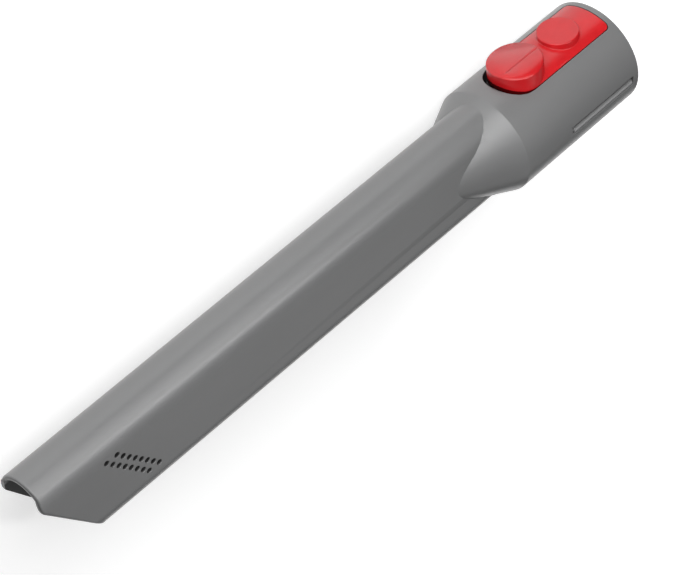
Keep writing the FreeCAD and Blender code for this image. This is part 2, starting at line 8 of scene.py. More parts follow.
import logging
import math
from collections.abc import Callable, Sequence
from dataclasses import dataclass, field
from enum import Enum
from typing import Any

import bmesh
import bpy
from mathutils import Matrix, Vector


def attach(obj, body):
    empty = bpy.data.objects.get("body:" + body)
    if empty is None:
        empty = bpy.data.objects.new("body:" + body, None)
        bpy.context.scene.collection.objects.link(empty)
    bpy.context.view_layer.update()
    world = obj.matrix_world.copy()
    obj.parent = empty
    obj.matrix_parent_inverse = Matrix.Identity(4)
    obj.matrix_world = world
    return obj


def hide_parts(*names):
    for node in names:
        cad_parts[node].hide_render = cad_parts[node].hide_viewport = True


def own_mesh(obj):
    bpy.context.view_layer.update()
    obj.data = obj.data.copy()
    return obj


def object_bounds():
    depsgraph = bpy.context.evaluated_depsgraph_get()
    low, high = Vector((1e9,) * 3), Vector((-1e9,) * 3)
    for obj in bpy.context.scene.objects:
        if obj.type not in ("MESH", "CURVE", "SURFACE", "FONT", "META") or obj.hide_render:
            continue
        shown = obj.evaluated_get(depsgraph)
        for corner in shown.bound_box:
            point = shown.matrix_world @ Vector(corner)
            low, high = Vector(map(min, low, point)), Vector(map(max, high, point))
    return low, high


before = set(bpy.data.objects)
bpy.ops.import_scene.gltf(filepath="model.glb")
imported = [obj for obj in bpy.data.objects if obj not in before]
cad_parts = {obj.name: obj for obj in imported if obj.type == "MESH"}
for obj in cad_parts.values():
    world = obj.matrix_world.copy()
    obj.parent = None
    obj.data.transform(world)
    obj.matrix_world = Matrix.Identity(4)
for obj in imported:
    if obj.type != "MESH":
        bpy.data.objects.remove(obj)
CAD_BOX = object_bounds()

LOG = logging.getLogger("crevice_tool")
MM = 0.001
Colour = tuple[float, float, float]
Point = tuple[float, float, float]
Span = tuple[float, float]
Socket = bpy.types.NodeSocket

WHITE: Colour = (1.0, 1.0, 1.0)
EVEN: Point = (1.0, 1.0, 1.0)


def squares(span: Span) -> Span:
    """Both ends of a span squared, to set against squared distances."""
    return span[0] ** 2, span[1] ** 2


def shade(colour: Colour, factor: float) -> Colour:
    """A colour made darker or lighter by a factor."""
    return tuple(factor * part for part in colour)


def grey(level: float) -> Colour:
    """A colour with three equal parts."""
    return (level,) * 3


def opaque(colour: Any) -> Any:
    """Adds alpha to a plain colour and passes a socket through."""
    return (*colour, 1.0) if isinstance(colour, tuple) and len(colour) == 3 else colour


class MixKind(Enum):
    """What a Mix node mixes: its data type, the numbers of its two inputs and of its output."""

    COLOUR = ("RGBA", 6, 7, 2)
    VECTOR = ("VECTOR", 4, 5, 1)


class Axis(Enum):
    """Which way a round form's axis runs."""

    ALONG = "along"
    UP = "up"


class Value:
    """A shader socket that carries a number and takes part in Python expressions."""

    def __init__(self, shader: "Shader", socket: Socket) -> None:
        """Keeps the socket and the shader whose nodes an expression adds to."""
        self.shader = shader
        self.socket = socket

    def _math(self, operation: str, *terms: "Value | float") -> "Value":
        """Adds one Math node.

        Args:
            operation: the Math node's operation.
            terms: its inputs in order.

        Returns:
            The node's result.
        """
        return self.shader.value("ShaderNodeMath", {"operation": operation},
                                 dict(enumerate(terms)))

    def __add__(self, other: "Value | float") -> "Value":
        """Sum."""
        return self._math("ADD", self, other)

    def __radd__(self, other: float) -> "Value":
        """Sum with a number on the left."""
        return self._math("ADD", other, self)

    def __sub__(self, other: "Value | float") -> "Value":
        """Difference."""
        return self._math("SUBTRACT", self, other)

    def __rsub__(self, other: float) -> "Value":
        """Difference from a number on the left."""
        return self._math("SUBTRACT", other, self)

    def __mul__(self, other: "Value | float") -> "Value":
        """Product."""
        return self._math("MULTIPLY", self, other)

    def __rmul__(self, other: float) -> "Value":
        """Product with a number on the left."""
        return self._math("MULTIPLY", other, self)

    def __neg__(self) -> "Value":
        """Opposite."""
        return self._math("SUBTRACT", 0.0, self)

    def either(self, other: "Value | float") -> "Value":
        """The larger of two values."""
        return self._math("MAXIMUM", self, other)

    def centred(self) -> "Value":
        """A value from 0 to 1 moved to lie about 0."""
        return self - 0.5

    def between(self, span: Span) -> "Value":
        """This value rescaled so that the span's ends give 0 and 1, held to that range."""
        return self.shader.value("ShaderNodeMapRange", {"clamp": True},
                                 dict(enumerate((self, *span, 0.0, 1.0))))


class Shader:
    """The nodes of one material."""

    noise_roughness: float = 0.55
    edge_mask_turn: Span = (0.01, 0.22)
    bevel_samples: int = 6

    def __init__(self, name: str) -> None:
        """Starts an empty material.

        Args:
            name: the material's name.
        """
        self.material = bpy.data.materials.new(name)
        self.material.use_nodes = True
        self.nodes = self.material.node_tree.nodes
        self.links = self.material.node_tree.links
        self.nodes.clear()

    def node(self, kind: str, settings: dict[str, Any] | None = None,
             inputs: dict[str | int, Any] | None = None) -> bpy.types.Node:
        """Adds one node.

        Args:
            kind: the node's type.
            settings: its properties, set first.
            inputs: socket name or number to a Value, a socket or a constant.

        Returns:
            The new node.
        """
        made = self.nodes.new(kind)
        for key, setting in (settings or {}).items():
            setattr(made, key, setting)
        for key, given in (inputs or {}).items():
            given = given.socket if isinstance(given, Value) else given
            if isinstance(given, Socket):
                self.links.new(given, made.inputs[key])
            else:
                made.inputs[key].default_value = given
        return made

    def value(self, kind: str, settings: dict[str, Any] | None = None,
              inputs: dict[str | int, Any] | None = None, output: str | int = 0) -> Value:
        """Adds a node and wraps one of its outputs.

        Args:
            kind: the node's type.
            settings: its properties.
            inputs: its socket values.
            output: which output to wrap.

        Returns:
            The output as a Value.
        """
        return Value(self, self.node(kind, settings, inputs).outputs[output])

    def axes(self) -> tuple[Value, Value, Value]:
        """Splits the object coordinates.

        Returns:
            Three values: along the tool, down from the catch's side, and across.
        """
        spot = self.node("ShaderNodeSeparateXYZ", None,
                         {0: self.node("ShaderNodeTexCoord").outputs["Object"]})
        return tuple(Value(self, spot.outputs[axis]) for axis in "XYZ")

    def radial(self, span: Span) -> Value:
        """Mask that rises from 0 to 1 over a span of distances from the collar's axis.

        Args:
            span: the distances in metres.

        Returns:
            The mask.
        """
        _, down, across = self.axes()
        return (down * down + across * across).between(squares(span))

    def place(self, stretch: Point) -> Socket:
        """Object coordinates, drawn out along the axes whose factor is below 1.

        Args:
            stretch: factor on each coordinate.

        Returns:
            The stretched coordinates.
        """
        spot = self.node("ShaderNodeTexCoord").outputs["Object"]
        return self.node("ShaderNodeMapping", {"vector_type": "POINT"},
                         {"Vector": spot, "Scale": stretch}).outputs["Vector"]

    def noise(self, size: float, detail: float = 2.0, stretch: Point = EVEN) -> Value:
        """Smooth noise.

        Args:
            size: width of its patches in metres.
            detail: how many finer layers it has.
            stretch: factor on each coordinate.

        Returns:
            A value from 0 to 1.
        """
        return self.value("ShaderNodeTexNoise", {"noise_dimensions": "3D"}, {
            "Vector": self.place(stretch),
            "Scale": 1.0 / size,
            "Detail": detail,
            "Roughness": self.noise_roughness,
        })

    def _mix(self, kind: MixKind, factor: Value | float, first: Any, second: Any) -> Socket:
        """Adds one Mix node.

        Args:
            kind: what is mixed.
            factor: share of the second input.
            first: constant or socket below.
            second: constant or socket on top.

        Returns:
            The mixed socket.
        """
        data_type, below, above, output = kind.value
        made = self.node("ShaderNodeMix", {"data_type": data_type},
                         {0: factor, below: opaque(first), above: opaque(second)})
        return made.outputs[output]

    def mix(self, factor: Value | float, first: Any, second: Any) -> Socket:
        """Lays a share of the second colour over the first."""
        return self._mix(MixKind.COLOUR, factor, first, second)

    def mottled(self, noise: Value, contrast: Span, colour: Colour, shades: Span) -> Socket:
        """Lets a colour run from one shade to another with a noise.

        Args:
            noise: what it follows.
            contrast: the noise's values that give the first and the second shade.
            colour: the plain colour.
            shades: factors on it.

        Returns:
            The mottled colour.
        """
        first, second = (shade(colour, factor) for factor in shades)
        return self.mix(noise.between(contrast), first, second)

    def rounded(self, radius: float, samples: int = bevel_samples) -> Socket:
        """Normal with the edges within that radius rounded over."""
        return self.node("ShaderNodeBevel", {"samples": samples},
                         {"Radius": radius}).outputs["Normal"]

    def edge_wear_and_highlight(self, radius: float) -> Value:
        """Mask along sharp edges, from how far a rounded normal turns from the true one.

        Args:
            radius: how far the mask reaches from an edge.

        Returns:
            The mask.
        """
        soft = self.rounded(radius)
        flat = self.node("ShaderNodeNewGeometry").outputs["Normal"]
        aligned = self.value("ShaderNodeVectorMath", {"operation": "DOT_PRODUCT"},
                             {0: soft, 1: flat}, "Value")
        return (1.0 - aligned).between(self.edge_mask_turn)

    def blend_normals(self, factor: Value, first: Socket, second: Socket) -> Socket:
        """Turns one normal toward another.

        Args:
            factor: how far it turns, from 0 to 1.
            first: the normal at 0.
            second: the normal at 1.

        Returns:
            The turned normal.
        """
        turned = self._mix(MixKind.VECTOR, factor, first, second)
        return self.node("ShaderNodeVectorMath", {"operation": "NORMALIZE"},
                         {0: turned}).outputs["Vector"]

    def bump(self, height: Value, depth: float, base: Socket) -> Socket:
        """Normal of a relief.

        Args:
            height: the relief, from 0 to 1.
            depth: how deep it is in metres.
            base: the normal that it is laid over.

        Returns:
            The relief's normal.
        """
        return self.node("ShaderNodeBump", None, {
            "Height": height,
            "Distance": depth,
            "Strength": 1.0,
            "Normal": base,
        }).outputs["Normal"]

    def surface(self, inputs: dict[str | int, Any]) -> bpy.types.Material:
        """Closes the material with a Principled shader.

        Args:
            inputs: its socket values and links.

        Returns:
            The finished material.
        """
        skin = self.node("ShaderNodeBsdfPrincipled", None, inputs)
        return self.close(skin.outputs["BSDF"])

    def close(self, shader: Socket) -> bpy.types.Material:
        """Joins a shader to the material's output."""
        self.node("ShaderNodeOutputMaterial", None, {"Surface": shader})
        return self.material


@dataclass(frozen=True)
class GreyShell:
    """Satin grey moulding with a fine spark-eroded grain.

    It has painted shade in the duct, on the window's walls and in the channels, and a painted
    highlight on the beads' crests, which stand proud of the collar.
    """

    colour: Colour = (0.160, 0.161, 0.162)
    roughness: float = 0.34
    gloss: float = 0.7
    mottle: float = 26 * MM
    mottle_detail: float = 3.0
    mottle_stretch: Point = (0.35, 1.0, 1.0)
    mottle_contrast: Span = (0.3, 0.7)
    mottle_shades: Span = (0.955, 1.045)
    mottle_rough: float = 0.07
    grain: float = 0.28 * MM
    grain_depth: float = 0.012 * MM
    speck: float = 1.6 * MM
    speck_detail: float = 4.0
    speck_rough: float = 0.10
    speck_relief: float = 0.35
    wear_and_highlight_radius: float = 0.45 * MM
    wear_and_highlight_colour: Colour = (0.42, 0.42, 0.42)
    wear_and_highlight_share: float = 0.28
    worn_polish: float = 0.06
    edge_radius: float = 0.3 * MM
    duct_top: float = 11.05 * MM
    duct_bottom: float = 12.45 * MM
    duct_root: float = 66.5 * MM
    duct_rise: float = 0.0082
    duct_skin: Span = (10.2 * MM, 10.7 * MM)
    duct_start: Span = (98 * MM, 104 * MM)
    hollow_shade: float = 0.16
    collar_end: Span = (64 * MM, 66 * MM)
    window_skin: Span = (23.05 * MM, 23.35 * MM)
    window_height: Span = (14 * MM, 16 * MM)
    channel_skin: Span = (22.4 * MM, 23.4 * MM)
    channel_side: Span = (20 * MM, 21 * MM)
    channel_shade_share: float = 0.75
    recess_shade_share: float = 0.85
    sunk_shade: float = 0.10
    crest_skin: Span = (23.53 * MM, 23.66 * MM)
    crest_highlight: float = 1.7
    dome_start: Span = (60 * MM, 68 * MM)
    dome_end: Span = (82 * MM, 98 * MM)
    dome_height: Span = (20.4 * MM, 22.3 * MM)
    dome_radius: float = 3.5 * MM
    dome_samples: int = 10

    def paint(self) -> bpy.types.Material:
        """Makes the material.

        Returns:
            The finished material.
        """
        shader = Shader("grey_shell")
        mottle = shader.noise(self.mottle, self.mottle_detail, self.mottle_stretch)
        grain = shader.noise(self.grain)
        speck = shader.noise(self.speck, self.speck_detail)
        # Lighter sharp edges: partly wear, partly a painted highlight.
        edges = shader.edge_wear_and_highlight(self.wear_and_highlight_radius)
        colour = shader.mottled(mottle, self.mottle_contrast, self.colour, self.mottle_shades)
        for mask, laid in (
            (edges * self.wear_and_highlight_share, self.wear_and_highlight_colour),
            # Painted shade in the duct and on the bleed holes' walls.
            (self.painted_duct_shade(shader), shade(self.colour, self.hollow_shade)),
            # Painted shade on the window's walls and in the channels.
            (self.painted_recess_shade(shader) * self.recess_shade_share, shade(self.colour, self.sunk_shade)),
            # Painted highlight on the beads' crests.
            (shader.radial(self.crest_skin), shade(self.colour, self.crest_highlight)),
        ):
            colour = shader.mix(mask, colour, laid)
        uneven = self.mottle_rough * mottle.centred() + self.speck_rough * speck.centred()
        normal = shader.blend_normals(self.dome(shader), shader.rounded(self.edge_radius),
                                      shader.rounded(self.dome_radius, self.dome_samples))
        relief = grain + self.speck_relief * speck
        return shader.surface({
            "Base Color": colour,
            "Roughness": self.roughness + uneven - self.worn_polish * edges,
            "Specular IOR Level": self.gloss,
            "Normal": shader.bump(relief, self.grain_depth, normal),
        })

    def painted_duct_shade(self, shader: Shader) -> Value:
        """Mask of painted shade in the duct and the bleed holes' walls, where little light reaches.

        Args:
            shader: the material's nodes.

        Returns:
            The mask.
        """
        along, down, across = shader.axes()
        above = -down - self.duct_top
        below = down - self.duct_bottom + self.duct_rise * (along - self.duct_root)
        beyond = above.either(below).either(0.0)
        from_core = across * across + beyond * beyond
        return (1.0 - from_core.between(squares(self.duct_skin))) * along.between(self.duct_start)

    def painted_recess_shade(self, shader: Shader) -> Value:
        """Mask of painted shade on the window's walls, and more weakly in the channels beside the
        beads.

        Args:
            shader: the material's nodes.

        Returns:
            The mask.
        """
        along, down, across = shader.axes()
        high = (-down).between(self.window_height)
        window = (1.0 - shader.radial(self.window_skin)) * high
        beside = (across * across).between(squares(self.channel_side))
        channel = (1.0 - shader.radial(self.channel_skin)) * beside
        return (window + channel * self.channel_shade_share) * (1.0 - along.between(self.collar_end))

    def dome(self, shader: Shader) -> Value:
        """Mask of the shoulder's top, where nozzle, cone and collar run into one another.

        Args:
            shader: the material's nodes.

        Returns:
            The mask.
        """
        along, down, _ = shader.axes()
        run = along.between(self.dome_start) * (1.0 - along.between(self.dome_end))
        return run * (-down).between(self.dome_height)


@dataclass(frozen=True)
class RedCatch:
    """Polished red moulding, with painted shade on the lever's sides below the collar's skin."""

    colour: Colour = (0.55, 0.012, 0.016)
    roughness: float = 0.24
    mottle: float = 9 * MM
    mottle_detail: float = 3.0
    mottle_contrast: Span = (0.3, 0.7)
    mottle_shades: Span = (0.93, 1.06)
    mottle_rough: float = 0.06
    grain: float = 0.35 * MM
    grain_depth: float = 0.004 * MM
    grain_rough: float = 0.05
    wear_and_highlight_radius: float = 0.35 * MM
    wear_and_highlight_colour: Colour = (0.80, 0.20, 0.20)
    wear_and_highlight_share: float = 0.22
    edge_radius: float = 0.7 * MM
    flank_skin: Span = (23.05 * MM, 23.3 * MM)
    flank_shade: float = 0.12

    def paint(self) -> bpy.types.Material:
        """Makes the material.

        Returns:
            The finished material.
        """
        shader = Shader("red_catch")
        mottle = shader.noise(self.mottle, self.mottle_detail)
        grain = shader.noise(self.grain)
        # Lighter sharp edges: partly wear, partly a painted highlight.
        wear_and_highlight = shader.edge_wear_and_highlight(self.wear_and_highlight_radius) * self.wear_and_highlight_share
        # Painted shade on the lever's sides below the collar's skin.
        flank_painted_shade = 1.0 - shader.radial(self.flank_skin)
        colour = shader.mottled(mottle, self.mottle_contrast, self.colour, self.mottle_shades)
        colour = shader.mix(wear_and_highlight, colour, self.wear_and_highlight_colour)
        colour = shader.mix(flank_painted_shade, colour, shade(self.colour, self.flank_shade))
        uneven = self.mottle_rough * mottle.centred() + self.grain_rough * grain.centred()
        return shader.surface({
            "Base Color": colour,
            "Roughness": self.roughness + uneven,
            "Normal": shader.bump(grain, self.grain_depth, shader.rounded(self.edge_radius)),
        })


@dataclass(frozen=True)
class SpringWire:
    """Drawn steel wire."""

    colour: Colour = (0.52, 0.52, 0.53)
    roughness: float = 0.32
    draw: float = 0.12 * MM
    draw_detail: float = 3.0
    draw_stretch: Point = (1.0, 6.0, 1.0)
    draw_rough: float = 0.18
    draw_depth: float = 0.004 * MM
    stain: float = 1.5 * MM
    stain_contrast: Span = (0.35, 0.7)
    stain_shades: Span = (1.0, 0.8)
    edge_radius: float = 0.1 * MM

    def paint(self) -> bpy.types.Material:
        """Makes the material.

        Returns:
            The finished material.
        """
        shader = Shader("spring_wire")
        draw = shader.noise(self.draw, self.draw_detail, self.draw_stretch)
        stain = shader.noise(self.stain)
        return shader.surface({
            "Base Color": shader.mottled(stain, self.stain_contrast, self.colour,
                                         self.stain_shades),
            "Metallic": 1.0,
            "Roughness": self.roughness + self.draw_rough * draw.centred(),
            "Normal": shader.bump(draw, self.draw_depth, shader.rounded(self.edge_radius)),
        })


@dataclass(frozen=True)
class PaleFloor:
    """White table that shows white to the camera and keeps the tool's shadow.

    What the camera sees is lifted to white. The lift is lower on the side where the tool's shadow
    falls, a painted shade over the real shadow, and it is full further off.
    """

    albedo: float = 0.72
    cloud: float = 90 * MM
    cloud_contrast: Span = (0.2, 0.8)
    cloud_shades: Span = (1.0, 0.99)
    shadow: float = 0.62
    shade_side_lift: float = 0.51
    far_lift: float = 0.80
    shade_side_start: Span = (-50 * MM, 20 * MM)
    shade_side_end: Span = (60 * MM, 170 * MM)
    full_centre: float = 0.15
    full_radius: Span = (0.2, 0.4)
    shown_rays: tuple[str, ...] = ("Is Camera Ray", "Is Glossy Ray", "Is Transmission Ray")

    def paint(self) -> bpy.types.Material:
        """Makes the material.

        Returns:
            The finished material.
        """
        shader = Shader("pale_floor")
        tone = shader.mottled(shader.noise(self.cloud), self.cloud_contrast, grey(self.albedo),
                              self.cloud_shades)
        plain = shader.node("ShaderNodeBsdfDiffuse", None, {"Color": tone})
        seen = shader.node("ShaderNodeBsdfDiffuse", None, {"Color": opaque(grey(self.shadow))})
        glow = shader.node("ShaderNodeEmission", None,
                           {"Color": self.level(shader), "Strength": 1.0})
        white = shader.node("ShaderNodeAddShader", None,
                            {0: seen.outputs[0], 1: glow.outputs[0]})
        path = shader.node("ShaderNodeLightPath")
        camera, glossy, through = (Value(shader, path.outputs[ray]) for ray in self.shown_rays)
        both = shader.node("ShaderNodeMixShader", None, {
            0: camera.either(glossy).either(through),
            1: plain.outputs[0],
            2: white.outputs[0],
        })
        return shader.close(both.outputs[0])

    def level(self, shader: Shader) -> Socket:
        """How far the floor is lifted to white at each place.

        Args:
            shader: the material's nodes.

        Returns:
            The lift as a colour.
        """
        along, down, _ = shader.axes()
        # Painted shade: a lower lift on the side where the tool's shadow falls.
        level = shader.mix(down.between(self.shade_side_start), grey(self.far_lift), grey(self.shade_side_lift))
        level = shader.mix(down.between(self.shade_side_end), level, grey(self.far_lift))
        aside = along - self.full_centre
        away = aside * aside + down * down
        return shader.mix(away.between(squares(self.full_radius)), level, WHITE)


@dataclass(frozen=True)
class Spot:
    """A point in millimetres along the tool, across its flat sides and up on the catch's side."""

    along: float
    across: float
    up: float

    @classmethod
    def of(cls, point: Vector) -> "Spot":
        """Reads a row-frame point."""
        return cls(point.x / MM, point.z / MM, -point.y / MM)

    @property
    def radius(self) -> float:
        """Distance from the collar's axis."""
        return math.hypot(self.across, self.up)


@dataclass(frozen=True)
class RoundForm:
    """A cylinder or cone of the moulding, by its axis and the stretch of it that is used.

    For an axis along the tool the centre is (across, up), and for an upright axis it is
    (along, across). Slope is the radius gained along the axis, climb the axis's own rise,
    and side keeps one half: 1 the upper, -1 the lower, 0 both.
    """

    name: str
    axis: Axis
    radius: float
    stretch: Span
    centre: Span = (0.0, 0.0)
    slope: float = 0.0
    climb: float = 0.0
    side: float = 0.0

    def polar(self, spot: Spot) -> tuple[float, float, float]:
        """Places a point about the axis.

        Args:
            spot: the point.

        Returns:
            Two coordinates across the axis, and the one along it from where the stretch begins.
        """
        first, second = self.centre
        start = self.stretch[0]
        if self.axis is Axis.UP:
            return spot.along - first, spot.across - second, spot.up - start
        far = spot.along - start
        return spot.across - first, spot.up - second - self.climb * far, far

    def holds(self, spot: Spot, slack: float = 0.03) -> bool:
        """Tells whether a point lies on the form.

        Args:
            spot: the point.
            slack: how far off the form it may lie.

        Returns:
            True for a point on the form.
        """
        first, second, far = self.polar(spot)
        length = self.stretch[1] - self.stretch[0]
        if not -slack <= far <= length + slack or self.side * second < -slack:
            return False
        return abs(math.hypot(first, second) - self.radius - self.slope * far) < slack

    def angle(self, spot: Spot) -> float:
        """Direction of a point from the axis."""
        first, second, _ = self.polar(spot)
        return math.atan2(second, first)

    def row(self, first: float, second: float, far: float) -> Vector:
        """Turns a direction into the row frame.

        Args:
            first: its first part across the axis.
            second: its second part across the axis.
            far: its part along the axis.

        Returns:
            The direction in the row frame.
        """
        if self.axis is Axis.UP:
            return Vector((first, -far, second))
        return Vector((far, -second, first))

    def drawn_out(self, spot: Spot) -> Vector:
        """Finds how far a point has to move to reach the form's skin.

        Args:
            spot: the point.

        Returns:
            The move in the row frame, in metres.
        """
        first, second, far = self.polar(spot)
        gain = (self.radius + self.slope * far) / math.hypot(first, second) - 1.0
        return self.row(first * gain, second * gain, 0.0) * MM

    def outward(self, spot: Spot) -> Vector:
        """Finds the form's own normal.

        Args:
            spot: a point on the form.

        Returns:
            The normal in the row frame.
        """
        first, second, _ = self.polar(spot)
        now = math.hypot(first, second)
        return self.row(first / now, second / now, -self.slope).normalized()


@dataclass(frozen=True)
class Rounding:
    """A family of sharp edges and the radius that they get."""

    name: str
    picks: Callable[[Spot], bool]
    width: float
    segments: int = 2
    least_angle: float = 20.0


def add_object(name: str, data: bpy.types.ID) -> bpy.types.Object:
    """Puts an object into the scene.

    Args:
        name: its name.
        data: its mesh, lamp or camera.

    Returns:
        The new object.
    """
    made = bpy.data.objects.new(name, data)
    bpy.context.scene.collection.objects.link(made)
    return made


def smooth_data(mesh: bmesh.types.BMesh, name: str, sharp_angle: float) -> bpy.types.Mesh:
    """Closes an edit mesh as smooth mesh data.

    Args:
        mesh: the edit mesh, which is freed.
        name: name of the data.
        sharp_angle: angle in degrees above which an edge stays sharp.

    Returns:
        The mesh data.
    """
    bmesh.ops.recalc_face_normals(mesh, faces=mesh.faces)
    data = bpy.data.meshes.new(name)
    mesh.to_mesh(data)
    mesh.free()
    data.polygons.foreach_set("use_smooth", [True] * len(data.polygons))
    data.set_sharp_from_angle(angle=math.radians(sharp_angle))
    return data


class RefinedSolid:
    """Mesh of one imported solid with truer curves, rounded edges and the forms' own normals.

    Weld is in metres, near and exact are in millimetres, step and widest_chord are angles
    in radians, and sag is a share of a form's radius.
    """

    weld: float = 0.002 * MM
    step: float = math.radians(6.0)
    widest_chord: float = 0.6
    sag: float = 0.0125
    near: float = 0.08
    exact: float = 0.004
    meeting_rounds: int = 6
    facing: float = 0.94
    sharp_angle: float = 28.0

    def __init__(self, node: str, name: str, forms: Sequence[RoundForm]) -> None:
        """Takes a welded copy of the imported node's mesh.

        Args:
            node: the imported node.
            name: name of the piece.
            forms: its round forms, outside first.
        """
        self.node = node
        self.name = name
        self.forms = forms
        self.mesh = bmesh.new()
        self.mesh.from_mesh(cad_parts[node].data)
        bmesh.ops.remove_doubles(self.mesh, verts=self.mesh.verts, dist=self.weld)

    def refine(self) -> None:
        """Breaks the chords on every round form into short steps and draws them to its skin."""
        for form in self.forms:
            chords = self.chords(form)
            before = set(self.mesh.verts)
            for cuts, edges in sorted(chords.items()):
                whole = [edge for edge in edges if edge.is_valid]
                bmesh.ops.subdivide_edges(self.mesh, edges=whole, cuts=cuts)
            for vert in self.mesh.verts:
                spot = Spot.of(vert.co)
                if vert not in before and form.holds(spot, self.sag * form.radius):
                    vert.co += form.drawn_out(spot)
            LOG.info("%s: %s, %d chords", self.name, form.name, sum(map(len, chords.values())))
        self.meet()

    def chords(self, form: RoundForm) -> dict[int, list[bmesh.types.BMEdge]]:
        """Finds the edges that cut across a round form.

        Args:
            form: the round form.

        Returns:
            The edges, by the number of cuts that each needs.
        """
        held = {vert for vert in self.mesh.verts if form.holds(Spot.of(vert.co))}
        chords: dict[int, list[bmesh.types.BMEdge]] = {}
        for edge in self.mesh.edges:
            if held.issuperset(edge.verts):
                start, end = (form.angle(Spot.of(vert.co)) for vert in edge.verts)
                turn = abs(math.remainder(start - end, 2 * math.pi))
                if self.step < turn < self.widest_chord:
                    chords.setdefault(math.ceil(turn / self.step) - 1, []).append(edge)
        return chords

    def meet(self) -> None:
        """Draws points near two forms onto the line in which they meet."""
        for vert in self.mesh.verts:
            spot = Spot.of(vert.co)
            near = [form for form in self.forms if form.holds(spot, self.near)]
            if len(near) == 2 and not all(form.holds(spot, self.exact) for form in near):
                for form in near * self.meeting_rounds:
                    vert.co += form.drawn_out(Spot.of(vert.co))

    def ease(self, rounding: Rounding) -> None:
        """Rounds one family of edges.

        Args:
            rounding: which edges, and how much.
        """
        limit = math.radians(rounding.least_angle)
        edges = [edge for edge in self.mesh.edges
                 if len(edge.link_faces) == 2 and edge.calc_face_angle(0.0) > limit
                 and all(rounding.picks(Spot.of(vert.co)) for vert in edge.verts)]
        if edges:
            bmesh.ops.bevel(self.mesh, geom=edges, offset=rounding.width * MM,
                            offset_type="OFFSET", segments=rounding.segments, profile=0.5,
                            affect="EDGES", clamp_overlap=False, loop_slide=True)
        LOG.info("%s: %s, %d edges rounded", self.name, rounding.name, len(edges))

    def finish(self, body: str, slot: str, material: bpy.types.Material) -> bpy.types.Object:
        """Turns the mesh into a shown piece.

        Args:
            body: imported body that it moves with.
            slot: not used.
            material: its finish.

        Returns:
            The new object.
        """
        data = smooth_data(self.mesh, self.name, self.sharp_angle)
        self.true_normals(data)
        data.materials.append(material)
        piece = add_object(self.name, data)
        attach(piece, body)
        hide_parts(self.node)
        return piece

    def level(self, corners: Sequence[Spot], normal: Vector) -> Vector | None:
        """Finds the exact normal of a face that is square to one of the axes.

        Args:
            corners: the face's corners.
            normal: its rough normal.

        Returns:
            The exact normal, or nothing for any other face.
        """
        for axis, name in ((0, "along"), (2, "across"), (1, "up")):
            heights = [getattr(spot, name) for spot in corners]
            if max(heights) - min(heights) < self.exact:
                exact = Vector((0.0, 0.0, 0.0))
                exact[axis] = math.copysign(1.0, normal[axis])
                return exact
        return None

    def form_under(self, face: bpy.types.MeshPolygon, corners: Sequence[Spot]) -> RoundForm | None:
        """Finds the round form that a face lies on.

        Args:
            face: the face.
            corners: its corners.

        Returns:
            The form, or nothing.
        """
        centre = Spot.of(face.center)
        for form in self.forms:
            if (all(form.holds(spot, self.near) for spot in corners)
                    and abs(form.outward(centre).dot(face.normal)) > self.facing):
                return form
        return None

    def true_normals(self, data: bpy.types.Mesh) -> None:
        """Gives each face on a round form the form's normals, and each square face its own.

        Args:
            data: the mesh data.
        """
        normals = [Vector(corner.vector) for corner in data.corner_normals]
        spots = [Spot.of(vert.co) for vert in data.vertices]
        for face in data.polygons:
            corners = [spots[index] for index in face.vertices]
            form = self.form_under(face, corners)
            level = None if form else self.level(corners, face.normal)
            for loop, spot in zip(face.loop_indices, corners):
                if level is not None:
                    normals[loop] = level
                elif form is not None:
                    outward = form.outward(spot)
                    normals[loop] = outward if outward.dot(face.normal) > 0.0 else -outward
        data.normals_split_custom_set(normals)


